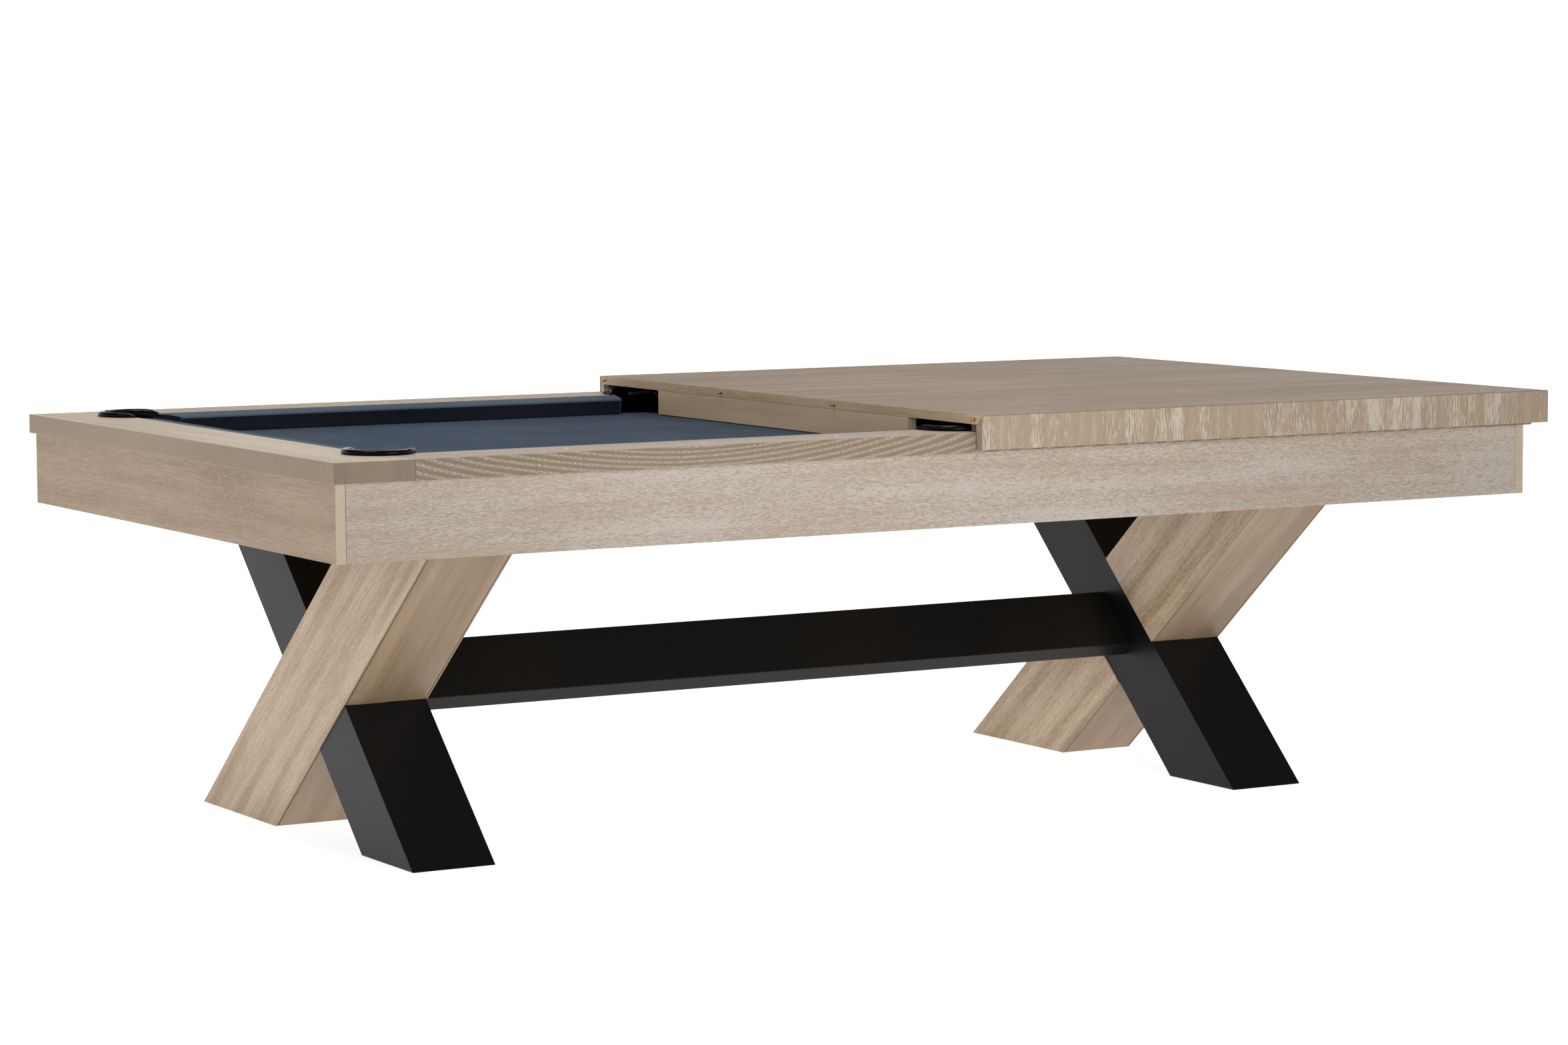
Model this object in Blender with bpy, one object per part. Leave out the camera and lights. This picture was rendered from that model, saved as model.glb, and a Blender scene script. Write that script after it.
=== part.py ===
"""Pool table with a two-panel dining top laid over its right-hand half.

Frame: X runs along the table, Y across it, Z up; the origin is on the floor under the
middle of the whole outline.  "near" is the -Y side, "left" the -X end.  All lengths are
metres.  The dimensions below are laid out from the middle of the table itself, which is
symmetric; FRAME_SHIFT moves every piece along X once the dining top's overhang is known.
"""
import math

import bmesh
import bpy
from mathutils import Vector

# ---------------------------------------------------------------- driving dimensions
TABLE_LENGTH = 2.540          # over the rail caps
TABLE_WIDTH = 1.420
RAIL_TOP = 0.762              # top of the rails above the floor
RAIL_THICKNESS = 0.036
END_RAIL_WOOD = 0.140         # wood showing on top of an end rail
SIDE_RAIL_WOOD = 0.120
CUSHION_WIDTH = 0.050         # wood edge to cushion nose
END_RAIL_RETURN = 0.149       # the end rail runs this far along each side
FIT = 0.0003                  # gap between pieces that touch

CUSHION_NOSE_TOP = 0.005      # below the rail top
CUSHION_NOSE_BOTTOM = 0.013
CUSHION_FOOT_SETBACK = 0.008  # the face leans back under the nose
CUSHION_BACK_DROP = 0.001     # cushion top below the wood it butts against
SIDE_CUSHION_OUTER = (1.062, 1.024)   # ends along the rail: at the wood, at the nose
SIDE_CUSHION_INNER = (0.056, 0.066)
END_CUSHION_ENDS = (0.484, 0.445)

APRON_BOTTOM_DROP = 0.1705    # rail top to apron bottom edge
APRON_THICKNESS = 0.019
APRON_END_INSET = 0.008
APRON_SIDE_INSET = 0.014

CLOTH_THICKNESS = 0.001
CLOTH_BELOW_RAIL = 0.0005     # cloth surface below the underside of the rails
SLATE_THICKNESS = 0.0254
SLATE_INSET = 0.075           # slate edge inside the rail cap edge
SLATE_COUNT = 3

POCKET_OFFSET = 0.150         # corner pocket centre from each outer edge
SIDE_POCKET_OFFSET = 0.098    # side pocket centre from the side edge
COLLAR_OUTER = 0.063
COLLAR_INNER = 0.047
COLLAR_HEIGHT = 0.008
CORNER_ARM = 0.040            # straight arms of a corner collar past its centre
SIDE_ARM = 0.020
LINER_OUTER = 0.052
LINER_WALL = 0.003
POCKET_HOLE = 0.0535          # radius cut in wood, slate and cloth
MOUTH_CUT = 0.120             # how far the rail cut runs on towards the bed
OUTWARD_CUT = 0.200           # how far the bed cut runs on away from the bed
CUT_OVERRUN = 0.020           # cutters pass this far beyond what they cut
BUCKET_BOTTOM_DROP = 0.160    # rail top to bucket underside

BEAM_WIDTH = 0.050
BEAM_CENTRE = 0.470           # long beam, from the middle line
BEAM_HALF_LENGTH = 1.150
HEAD_PLATE_BOTTOM = 0.594
HEAD_PLATE_THICKNESS = 0.012
HEAD_PLATE_HALF_WIDTH = 0.510

LEG_CENTRE = 0.893            # middle of each crossed leg pair along X
LEG_DEPTH = 0.168             # size of the pale leg along X
BLACK_LEG_RECESS = 0.0025     # black leg face behind the pale leg face
CROSS_Y = 0.050               # where the two legs of a pair cross
CROSS_Z = 0.296
WOOD_LEG_ANGLE = 40.0         # from the floor, degrees
WOOD_LEG_FOOT = 0.348         # length of its foot along Y
BLACK_LEG_ANGLE = 43.6
BLACK_LEG_FOOT = 0.216
STRETCHER_WIDTH = 0.140
STRETCHER_THICKNESS = 0.036
STRETCHER_Z = 0.291

PANEL_START = -0.014          # left edge of the dining panels
DINING_OVERHANG_END = 0.023   # past the rail cap
DINING_OVERHANG_SIDE = 0.022
PANEL_THICKNESS = 0.017
PAD_HEIGHT = 0.014            # strip that carries a panel on the rails
PAD_WIDTH = 0.0165
SKIRT_THICKNESS = 0.020
SKIRT_DROP = 0.031            # skirt bottom below the rail top
BATTEN_HALF_LENGTH = 0.478
BATTEN_THICKNESS = 0.020
BATTEN_CLEARANCE = 0.0015     # batten above the bed cloth
END_BATTEN_X = 1.030          # batten nearest the right end cushion
PIN_Y = (-0.706, -0.217, 0.217, 0.706)
PIN_SHANK = 0.0022            # radius
PIN_HEAD = 0.0032             # radius of the ball
PIN_NECK = 0.0016             # bare shank between the board and the ball
PIN_DEPTH = 0.012             # shank inside the board
SOCKET_SLACK = 0.003          # socket deeper than the pin reaches

# ---------------------------------------------------------------- worked-out places
HALF_L = TABLE_LENGTH / 2
HALF_W = TABLE_WIDTH / 2
RAIL_BOTTOM = RAIL_TOP - RAIL_THICKNESS
CLOTH_TOP = RAIL_BOTTOM - CLOTH_BELOW_RAIL
SLATE_TOP = CLOTH_TOP - CLOTH_THICKNESS - FIT
SLATE_BOTTOM = SLATE_TOP - SLATE_THICKNESS
FRAME_TOP = SLATE_BOTTOM - FIT
FRAME_BOTTOM = HEAD_PLATE_BOTTOM + HEAD_PLATE_THICKNESS + FIT
LEG_TOP = HEAD_PLATE_BOTTOM - FIT
SLATE_HALF_L = HALF_L - SLATE_INSET
SLATE_HALF_W = HALF_W - SLATE_INSET
WOOD_X = HALF_L - END_RAIL_WOOD
WOOD_Y = HALF_W - SIDE_RAIL_WOOD
JOINT_X = HALF_L - END_RAIL_RETURN
CORNER_X = HALF_L - POCKET_OFFSET
CORNER_Y = HALF_W - POCKET_OFFSET
SIDE_Y = HALF_W - SIDE_POCKET_OFFSET
PANEL_END = HALF_L + DINING_OVERHANG_END
PANEL_SEAM = (PANEL_START + PANEL_END) / 2
PANEL_HALF_W = HALF_W + DINING_OVERHANG_SIDE
PANEL_BOTTOM = RAIL_TOP + PAD_HEIGHT
PANEL_TOP = PANEL_BOTTOM + PANEL_THICKNESS
PIN_Z = (PANEL_BOTTOM + PANEL_TOP) / 2
FRAME_SHIFT = Vector((-DINING_OVERHANG_END / 2, 0, 0))
ARC_STEPS = 24
PIN_STEPS = 12

# colour, roughness, metallic
FINISHES = {
    "limed_ash": ((0.52, 0.44, 0.35, 1), 0.55, 0.0),
    "warm_ash": ((0.45, 0.34, 0.25, 1), 0.5, 0.0),
    "black_lacquer": ((0.012, 0.012, 0.013, 1), 0.35, 0.0),
    "slate": ((0.12, 0.13, 0.14, 1), 0.8, 0.0),
    "blue_cloth": ((0.05, 0.085, 0.12, 1), 0.95, 0.0),
    "black_moulding": ((0.006, 0.006, 0.006, 1), 0.12, 0.0),
    "frame_timber": ((0.42, 0.30, 0.19, 1), 0.7, 0.0),
    "dark_pad": ((0.035, 0.03, 0.03, 1), 0.9, 0.0),
    "brass": ((0.78, 0.48, 0.18, 1), 0.25, 1.0),
}


def material(name):
    """Return the named finish, making it the first time it is asked for."""
    found = bpy.data.materials.get(name)
    if found:
        return found
    colour, roughness, metallic = FINISHES[name]
    made = bpy.data.materials.new(name)
    made.use_nodes = True
    shader = made.node_tree.nodes["Principled BSDF"]
    shader.inputs["Base Color"].default_value = colour
    shader.inputs["Roughness"].default_value = roughness
    shader.inputs["Metallic"].default_value = metallic
    return made


def add_object(name, bm, finish, parent=None, smooth=False):
    """Turn a bmesh laid out from the table's middle into an object at its parent."""
    bmesh.ops.recalc_face_normals(bm, faces=bm.faces[:])
    mesh = bpy.data.meshes.new(name)
    origin = Vector(parent.location) if parent else Vector((0, 0, 0))
    bmesh.ops.translate(bm, verts=bm.verts[:], vec=FRAME_SHIFT - origin)
    bm.to_mesh(mesh)
    bm.free()
    mesh.materials.append(material(finish))
    if smooth:
        mesh.shade_smooth()
        mesh.set_sharp_from_angle(angle=math.radians(35))
    obj = bpy.data.objects.new(name, mesh)
    bpy.context.scene.collection.objects.link(obj)
    if parent:
        obj.parent = parent
    return obj


def prism(bm, outline, low, high, axis="z"):
    """Extrude a closed outline between two heights along an axis.

    Outline points are (x, y) for axis z and (y, z) for axis x.
    """
    def place(point, height):
        if axis == "z":
            return (point[0], point[1], height)
        return (height, point[0], point[1])

    bottom = [bm.verts.new(place(p, low)) for p in outline]
    top = [bm.verts.new(place(p, high)) for p in outline]
    bm.faces.new(bottom)
    bm.faces.new(top)
    for i in range(len(outline)):
        j = (i + 1) % len(outline)
        bm.faces.new((bottom[i], bottom[j], top[j], top[i]))


def box(bm, low, high):
    """A plain box between two corners."""
    outline = [(low[0], low[1]), (high[0], low[1]), (high[0], high[1]), (low[0], high[1])]
    prism(bm, outline, low[2], high[2])


def box_object(name, low, high, finish, parent=None):
    bm = bmesh.new()
    box(bm, low, high)
    return add_object(name, bm, finish, parent)


def arc(cx, cy, radius, start, end, steps=ARC_STEPS):
    """Points on an arc, angles in degrees, both ends included."""
    points = []
    for i in range(steps + 1):
        angle = math.radians(start + (end - start) * i / steps)
        points.append((cx + radius * math.cos(angle), cy + radius * math.sin(angle)))
    return points


def hide_cutter(obj):
    obj.hide_render = True
    obj.display_type = "WIRE"
    return obj


def cut(obj, cutter):
    modifier = obj.modifiers.new("cut", "BOOLEAN")
    modifier.operation = "DIFFERENCE"
    modifier.solver = "EXACT"
    modifier.object = cutter


# ---------------------------------------------------------------- pockets
def pocket_places():
    """Name, centre and mouth direction (degrees) of each of the six pockets."""
    places = []
    for end, sx in (("left", -1), ("right", 1)):
        for side, sy in (("near", -1), ("far", 1)):
            towards_bed = math.degrees(math.atan2(-sy, -sx))
            places.append((f"{side}_{end}", sx * CORNER_X, sy * CORNER_Y, towards_bed,
                           CORNER_ARM))
    places.append(("near_middle", 0, -SIDE_Y, 90, SIDE_ARM))
    places.append(("far_middle", 0, SIDE_Y, -90, SIDE_ARM))
    return places


def u_outline(cx, cy, radius, mouth, arm):
    """Half circle behind the centre with two straight arms towards the mouth."""
    back = arc(cx, cy, radius, mouth + 90, mouth + 270)
    dx = arm * math.cos(math.radians(mouth))
    dy = arm * math.sin(math.radians(mouth))
    first, last = back[0], back[-1]
    return [(first[0] + dx, first[1] + dy)] + back + [(last[0] + dx, last[1] + dy)]


def pocket_profile():
    """Turned profile (radius, height) from the bucket's outer foot round to its floor."""
    outer, inner = LINER_OUTER, LINER_OUTER - LINER_WALL
    low = RAIL_TOP - BUCKET_BOTTOM_DROP
    under, over = RAIL_TOP + FIT, RAIL_TOP + COLLAR_HEIGHT
    return ((outer, low), (outer, CLOTH_TOP), (outer, under), (COLLAR_OUTER, under),
            (COLLAR_OUTER, over), (COLLAR_INNER, over), (COLLAR_INNER, under),
            (inner, under), (inner, CLOTH_TOP), (inner, low + LINER_WALL))


def make_pocket(name, cx, cy, mouth, arm):
    """Moulded pocket in one piece: bucket all round, and behind the mouth a wall and collar.

    The back half carries the whole profile; the half towards the bed stops at the cloth.
    The collar alone runs on as two straight arms.
    """
    profile = pocket_profile()
    cup = (0, 1, 8, 9)
    collar = (2, 3, 4, 5, 6, 7)
    ahead = Vector((math.cos(math.radians(mouth)), math.sin(math.radians(mouth)), 0)) * arm
    steps = 2 * ARC_STEPS
    bm = bmesh.new()
    rings = []
    for i in range(steps):
        angle = math.radians(mouth + 90 + 360 * i / steps)
        kept = range(len(profile)) if i <= ARC_STEPS else cup
        rings.append({k: bm.verts.new((cx + profile[k][0] * math.cos(angle),
                                       cy + profile[k][0] * math.sin(angle), profile[k][1]))
                      for k in kept})
    for i in range(steps):
        here, there = rings[i], rings[(i + 1) % steps]
        chain = range(len(profile)) if i < ARC_STEPS else cup
        for k, m in zip(chain, chain[1:]):
            bm.faces.new((here[k], here[m], there[m], there[k]))
    bm.faces.new([ring[0] for ring in rings])
    bm.faces.new([ring[9] for ring in rings])
    for ring in (rings[0], rings[ARC_STEPS]):
        bm.faces.new([ring[k] for k in (1, 2, 7, 8)])
        root = [ring[k] for k in collar]
        tip = [bm.verts.new(v.co + ahead) for v in root]
        bm.faces.new(tip)
        for k in range(len(collar)):
            m = (k + 1) % len(collar)
            bm.faces.new((root[k], root[m], tip[m], tip[k]))
    add_object(f"pocket_{name}", bm, "black_moulding", smooth=True)


def pocket_cutter(name, with_mouth):
    """All six pocket holes as one cutter; with_mouth also opens them towards the bed."""
    bm = bmesh.new()
    low, high = SLATE_BOTTOM - CUT_OVERRUN, RAIL_TOP + CUT_OVERRUN
    for _, cx, cy, mouth, _ in pocket_places():
        if with_mouth:
            prism(bm, u_outline(cx, cy, POCKET_HOLE, mouth, MOUTH_CUT), low, high)
        else:
            prism(bm, u_outline(cx, cy, POCKET_HOLE, mouth + 180, OUTWARD_CUT), low, high)
    return hide_cutter(add_object(name, bm, "black_moulding"))


# ---------------------------------------------------------------- legs and stretcher
def leg_outline(lean, angle, foot, grow=0.0, bottom=0.0, top=LEG_TOP):
    """Slanted board in the YZ plane; lean is +1 when its top is on the far side."""
    run = lean / math.tan(math.radians(angle))
    half = foot / 2 + grow / math.sin(math.radians(angle))

    def centre(z):
        return CROSS_Y + (z - CROSS_Z) * run

    return [(centre(bottom) - half, bottom), (centre(bottom) + half, bottom),
            (centre(top) + half, top), (centre(top) - half, top)]


def make_leg_pair(end, side):
    """Pale leg over black leg, halved into each other: pale outside, black inside."""
    middle = side * LEG_CENTRE
    outside = middle + side * LEG_DEPTH / 2
    inside = middle - side * LEG_DEPTH / 2
    bm = bmesh.new()
    prism(bm, leg_outline(-1, WOOD_LEG_ANGLE, WOOD_LEG_FOOT), outside, inside, axis="x")
    wood = add_object(f"pale_leg_{end}", bm, "warm_ash")
    bm = bmesh.new()
    prism(bm, leg_outline(1, BLACK_LEG_ANGLE, BLACK_LEG_FOOT),
          outside - side * BLACK_LEG_RECESS, inside + side * BLACK_LEG_RECESS, axis="x")
    black = add_object(f"black_leg_{end}", bm, "black_lacquer")
    beyond = side * CUT_OVERRUN
    below, above = -CUT_OVERRUN, LEG_TOP + CUT_OVERRUN
    bm = bmesh.new()
    prism(bm, leg_outline(1, BLACK_LEG_ANGLE, BLACK_LEG_FOOT, FIT, below, above),
          middle, inside - beyond, axis="x")
    cut(wood, hide_cutter(add_object(f"notch_pale_{end}", bm, "warm_ash")))
    bm = bmesh.new()
    prism(bm, leg_outline(-1, WOOD_LEG_ANGLE, WOOD_LEG_FOOT, FIT, below, above),
          middle - side * FIT, outside + beyond, axis="x")
    cut(black, hide_cutter(add_object(f"notch_black_{end}", bm, "warm_ash")))
    box_object(f"leg_head_plate_{end}",
               (middle - LEG_DEPTH / 2, -HEAD_PLATE_HALF_WIDTH, HEAD_PLATE_BOTTOM),
               (middle + LEG_DEPTH / 2, HEAD_PLATE_HALF_WIDTH,
                HEAD_PLATE_BOTTOM + HEAD_PLATE_THICKNESS), "frame_timber")


def make_stretcher():
    """Plank between the crossings, lying along the slope of the black legs."""
    slope = math.radians(BLACK_LEG_ANGLE)
    along = Vector((math.cos(slope), math.sin(slope))) * STRETCHER_WIDTH / 2
    across = Vector((-math.sin(slope), math.cos(slope))) * STRETCHER_THICKNESS / 2
    centre = Vector((CROSS_Y, STRETCHER_Z))
    corners = [centre + along + across, centre - along + across,
               centre - along - across, centre + along - across]
    reach = LEG_CENTRE - LEG_DEPTH / 2 + BLACK_LEG_RECESS - FIT
    bm = bmesh.new()
    prism(bm, [tuple(c) for c in corners], -reach, reach, axis="x")
    add_object("stretcher", bm, "black_lacquer")


# ---------------------------------------------------------------- bed and frame
def make_frame():
    low, high = FRAME_BOTTOM, FRAME_TOP
    near, far = BEAM_CENTRE - BEAM_WIDTH / 2, BEAM_CENTRE + BEAM_WIDTH / 2
    for side, sy in (("near", -1), ("far", 1)):
        y0, y1 = sorted((sy * near, sy * far))
        box_object(f"long_beam_{side}", (-BEAM_HALF_LENGTH, y0, low),
                   (BEAM_HALF_LENGTH, y1, high), "frame_timber")
    reach = near - FIT
    seam = SLATE_HALF_L / SLATE_COUNT
    for name, x in (("left", -LEG_CENTRE), ("left_seam", -seam),
                    ("right_seam", seam), ("right", LEG_CENTRE)):
        box_object(f"cross_beam_{name}", (x - BEAM_WIDTH / 2, -reach, low),
                   (x + BEAM_WIDTH / 2, reach, high), "frame_timber")


def make_bed(cutter):
    """Three slates edge to edge and the cloth stretched over them."""
    length = 2 * SLATE_HALF_L / SLATE_COUNT
    for i, name in enumerate(("left", "middle", "right")):
        start = -SLATE_HALF_L + i * length
        slate = box_object(f"slate_{name}",
                           (start + FIT / 2, -SLATE_HALF_W, SLATE_BOTTOM),
                           (start + length - FIT / 2, SLATE_HALF_W, SLATE_TOP), "slate")
        cut(slate, cutter)
    cloth = box_object("bed_cloth", (-SLATE_HALF_L, -SLATE_HALF_W, SLATE_TOP + FIT),
                       (SLATE_HALF_L, SLATE_HALF_W, CLOTH_TOP), "blue_cloth")
    cut(cloth, cutter)


# ---------------------------------------------------------------- rails and aprons
def make_rails(cutter):
    for end, sx in (("left", -1), ("right", 1)):
        inner = [(sx * JOINT_X, -HALF_W), (sx * JOINT_X, -CORNER_Y),
                 (sx * WOOD_X, -CORNER_Y), (sx * WOOD_X, CORNER_Y),
                 (sx * JOINT_X, CORNER_Y), (sx * JOINT_X, HALF_W)]
        bm = bmesh.new()
        outline = [(sx * HALF_L, -HALF_W)] + inner + [(sx * HALF_L, HALF_W)]
        prism(bm, outline, RAIL_BOTTOM, RAIL_TOP)
        cut(add_object(f"end_rail_{end}", bm, "limed_ash"), cutter)
    for side, sy in (("near", -1), ("far", 1)):
        y0, y1 = sorted((sy * HALF_W, sy * WOOD_Y))
        reach = JOINT_X - FIT
        rail = box_object(f"side_rail_{side}", (-reach, y0, RAIL_BOTTOM),
                          (reach, y1, RAIL_TOP), "limed_ash")
        cut(rail, cutter)


def cushion_section():
    """Rubber cushion section as (distance from the wood, height)."""
    top = RAIL_TOP
    foot = RAIL_BOTTOM + FIT
    return ((FIT, top - CUSHION_BACK_DROP), (CUSHION_WIDTH, top - CUSHION_NOSE_TOP),
            (CUSHION_WIDTH, top - CUSHION_NOSE_BOTTOM),
            (CUSHION_WIDTH - CUSHION_FOOT_SETBACK, foot), (FIT, foot))


def make_cushion(name, base, out, along, ends):
    """Sweep the section between two slanted facings.

    base is the wood edge, out points to the bed, along runs down the rail, and ends
    gives for each end its position at the wood and at the nose.
    """
    bm = bmesh.new()
    rings = []
    for at_wood, at_nose in ends:
        ring = []
        for reach, height in cushion_section():
            position = at_wood + (at_nose - at_wood) * reach / CUSHION_WIDTH
            spot = base + out * reach + along * position
            ring.append(bm.verts.new((spot.x, spot.y, height)))
        rings.append(ring)
    bm.faces.new(rings[0])
    bm.faces.new(rings[1])
    count = len(rings[0])
    for i in range(count):
        j = (i + 1) % count
        bm.faces.new((rings[0][i], rings[0][j], rings[1][j], rings[1][i]))
    add_object(name, bm, "blue_cloth")


def make_cushions():
    for side, sy in (("near", -1), ("far", 1)):
        base = Vector((0, sy * WOOD_Y, 0))
        out = Vector((0, -sy, 0))
        for end, sx in (("left", -1), ("right", 1)):
            ends = (SIDE_CUSHION_OUTER, SIDE_CUSHION_INNER)
            make_cushion(f"cushion_{side}_{end}", base, out, Vector((sx, 0, 0)), ends)
    for end, sx in (("left", -1), ("right", 1)):
        ends = (END_CUSHION_ENDS, tuple(-place for place in END_CUSHION_ENDS))
        make_cushion(f"cushion_end_{end}", Vector((sx * WOOD_X, 0, 0)), Vector((-sx, 0, 0)),
                     Vector((0, 1, 0)), ends)


def make_aprons():
    low = RAIL_TOP - APRON_BOTTOM_DROP
    high = RAIL_BOTTOM - FIT
    end_face = HALF_L - APRON_END_INSET
    side_face = HALF_W - APRON_SIDE_INSET
    for end, sx in (("left", -1), ("right", 1)):
        x0, x1 = sorted((sx * end_face, sx * (end_face - APRON_THICKNESS)))
        box_object(f"end_apron_{end}", (x0, -side_face, low), (x1, side_face, high), "limed_ash")
    reach = end_face - APRON_THICKNESS - FIT
    for side, sy in (("near", -1), ("far", 1)):
        y0, y1 = sorted((sy * side_face, sy * (side_face - APRON_THICKNESS)))
        box_object(f"side_apron_{side}", (-reach, y0, low), (reach, y1, high), "limed_ash")


# ---------------------------------------------------------------- dining panels
def make_board(name, x0, x1, bevel_right, parent):
    """Panel board whose skirted edges are mitred; returns it for drilling."""
    bm = bmesh.new()
    top = [(x0, -PANEL_HALF_W), (x1, -PANEL_HALF_W), (x1, PANEL_HALF_W), (x0, PANEL_HALF_W)]
    low_x = x1 - (PANEL_THICKNESS if bevel_right else 0)
    low_y = PANEL_HALF_W - PANEL_THICKNESS
    low = [(x0, -low_y), (low_x, -low_y), (low_x, low_y), (x0, low_y)]
    upper = [bm.verts.new((x, y, PANEL_TOP)) for x, y in top]
    lower = [bm.verts.new((x, y, PANEL_BOTTOM)) for x, y in low]
    bm.faces.new(upper)
    bm.faces.new(lower)
    for i in range(4):
        j = (i + 1) % 4
        bm.faces.new((lower[i], lower[j], upper[j], upper[i]))
    return add_object(name, bm, "limed_ash", parent)


def skirt_section():
    """Skirt section as (distance in from the outer face, height); its top is mitred."""
    fit = FIT * math.sqrt(2)
    mitre = PANEL_THICKNESS
    bottom = RAIL_TOP - SKIRT_DROP
    return ((0, bottom), (SKIRT_THICKNESS, bottom), (SKIRT_THICKNESS, PANEL_BOTTOM - FIT),
            (mitre + FIT - fit, PANEL_BOTTOM - FIT), (0, PANEL_TOP - fit))


def make_skirt(name, face, inward, along, start, end, mitre_start, mitre_end, parent):
    """Sweep the skirt section; a mitred end steps back with the section's depth."""
    bm = bmesh.new()
    rings = []
    for position, mitred, step in ((start, mitre_start, 1), (end, mitre_end, -1)):
        ring = []
        for depth, height in skirt_section():
            spot = face + inward * depth + along * (position + (step * depth if mitred else 0))
            ring.append(bm.verts.new((spot.x, spot.y, height)))
        rings.append(ring)
    bm.faces.new(rings[0])
    bm.faces.new(rings[1])
    count = len(rings[0])
    for i in range(count):
        j = (i + 1) % count
        bm.faces.new((rings[0][i], rings[0][j], rings[1][j], rings[1][i]))
    add_object(name, bm, "limed_ash", parent)


def pin_profile(start):
    """Turned pin as (position along X, radius): shank in the board, ball outside."""
    tip = start - PIN_NECK
    points = [(start + PIN_DEPTH, PIN_SHANK), (tip, PIN_SHANK)]
    for angle in (40, 65, 90, 115, 140):
        turn = math.radians(angle)
        points.append((tip - PIN_HEAD + PIN_HEAD * math.cos(turn), PIN_HEAD * math.sin(turn)))
    return points


def make_pin(name, start, y, parent):
    bm = bmesh.new()
    rings = []
    for x, radius in pin_profile(start):
        ring = arc(0, 0, radius, 0, 360, PIN_STEPS)[:-1]
        rings.append([bm.verts.new((x, y + a, PIN_Z + b)) for a, b in ring])
    for first, second in zip(rings, rings[1:]):
        for i in range(PIN_STEPS):
            j = (i + 1) % PIN_STEPS
            bm.faces.new((first[i], first[j], second[j], second[i]))
    bm.faces.new(rings[0])
    bm.faces.new(rings[-1])
    add_object(name, bm, "brass", parent, smooth=True)


def drill(board, start, depth, radius, parent, name):
    """Four blind pin holes in a board, each running from start towards +X."""
    bm = bmesh.new()
    for y in PIN_Y:
        circle = [(y + a, PIN_Z + b) for a, b in arc(0, 0, radius, 0, 360, PIN_STEPS)[:-1]]
        prism(bm, circle, start, start + depth, axis="x")
    cut(board, hide_cutter(add_object(name, bm, "brass", parent)))


def make_panel(letter, x0, x1, batten_starts, is_end, parent):
    """Board, skirts, pads, battens and the pins in the board's left edge."""
    board = make_board(f"panel_{letter}_board", x0, x1, is_end, parent)
    drill(board, x0 - CUT_OVERRUN, CUT_OVERRUN + PIN_DEPTH + FIT, PIN_SHANK + FIT, parent,
          f"pin_holes_{letter}")
    for side, sy in (("near", -1), ("far", 1)):
        face = Vector((0, sy * PANEL_HALF_W, 0))
        make_skirt(f"panel_{letter}_skirt_{side}", face, Vector((0, -sy, 0)), Vector((1, 0, 0)),
                   x0, x1 - (FIT if is_end else 0), False, is_end, parent)
        outer = PANEL_HALF_W - SKIRT_THICKNESS - FIT
        y0, y1 = sorted((sy * outer, sy * (outer - PAD_WIDTH)))
        end = HALF_L if is_end else x1
        box_object(f"panel_{letter}_pad_{side}", (x0, y0, RAIL_TOP + FIT),
                   (end, y1, PANEL_BOTTOM - FIT), "dark_pad", parent)
    if is_end:
        make_skirt(f"panel_{letter}_skirt_end", Vector((x1, 0, 0)), Vector((-1, 0, 0)),
                   Vector((0, 1, 0)), -PANEL_HALF_W + FIT, PANEL_HALF_W - FIT, True, True, parent)
    for side, start in zip(("left", "right"), batten_starts):
        box_object(f"panel_{letter}_batten_{side}",
                   (start, -BATTEN_HALF_LENGTH, CLOTH_TOP + BATTEN_CLEARANCE),
                   (start + BATTEN_THICKNESS, BATTEN_HALF_LENGTH, PANEL_BOTTOM - FIT),
                   "limed_ash", parent)
    for i, y in enumerate(PIN_Y):
        make_pin(f"panel_{letter}_pin_{i + 1}", x0, y, parent)
    return board


def make_carrier(name, x):
    """Empty that a moving panel's pieces hang on."""
    carrier = bpy.data.objects.new(name, None)
    bpy.context.scene.collection.objects.link(carrier)
    carrier.location = Vector((x, 0, PANEL_BOTTOM)) + FRAME_SHIFT
    return carrier


def make_dining_top():
    """Panel a slides off panel b's pins; panel b closes the right-hand end."""
    seam_left, seam_right = PANEL_SEAM - FIT / 2, PANEL_SEAM + FIT / 2
    carrier_b = make_carrier("panel_b_carrier", PANEL_SEAM)
    carrier_a = make_carrier("panel_a_carrier", PANEL_START)
    board = make_panel("a", PANEL_START, seam_left, (PANEL_START, seam_left - BATTEN_THICKNESS),
                       False, carrier_a)
    make_panel("b", seam_right, PANEL_END, (seam_right, END_BATTEN_X), True, carrier_b)
    depth = PIN_NECK + 2 * PIN_HEAD + SOCKET_SLACK
    drill(board, seam_left - depth, depth + CUT_OVERRUN, PIN_HEAD + FIT, carrier_a, "pin_sockets_a")


def clear_scene():
    for obj in list(bpy.data.objects):
        bpy.data.objects.remove(obj, do_unlink=True)


def build():
    clear_scene()
    for place in pocket_places():
        make_pocket(*place)
    rail_cutter = pocket_cutter("rail_pocket_cuts", True)
    bed_cutter = pocket_cutter("bed_pocket_cuts", False)
    for end, side in (("left", -1), ("right", 1)):
        make_leg_pair(end, side)
    make_stretcher()
    make_frame()
    make_bed(bed_cutter)
    make_rails(rail_cutter)
    make_cushions()
    make_aprons()
    make_dining_top()


build()
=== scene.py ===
import math

import bmesh
import bpy
from mathutils import Matrix, Vector


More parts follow.
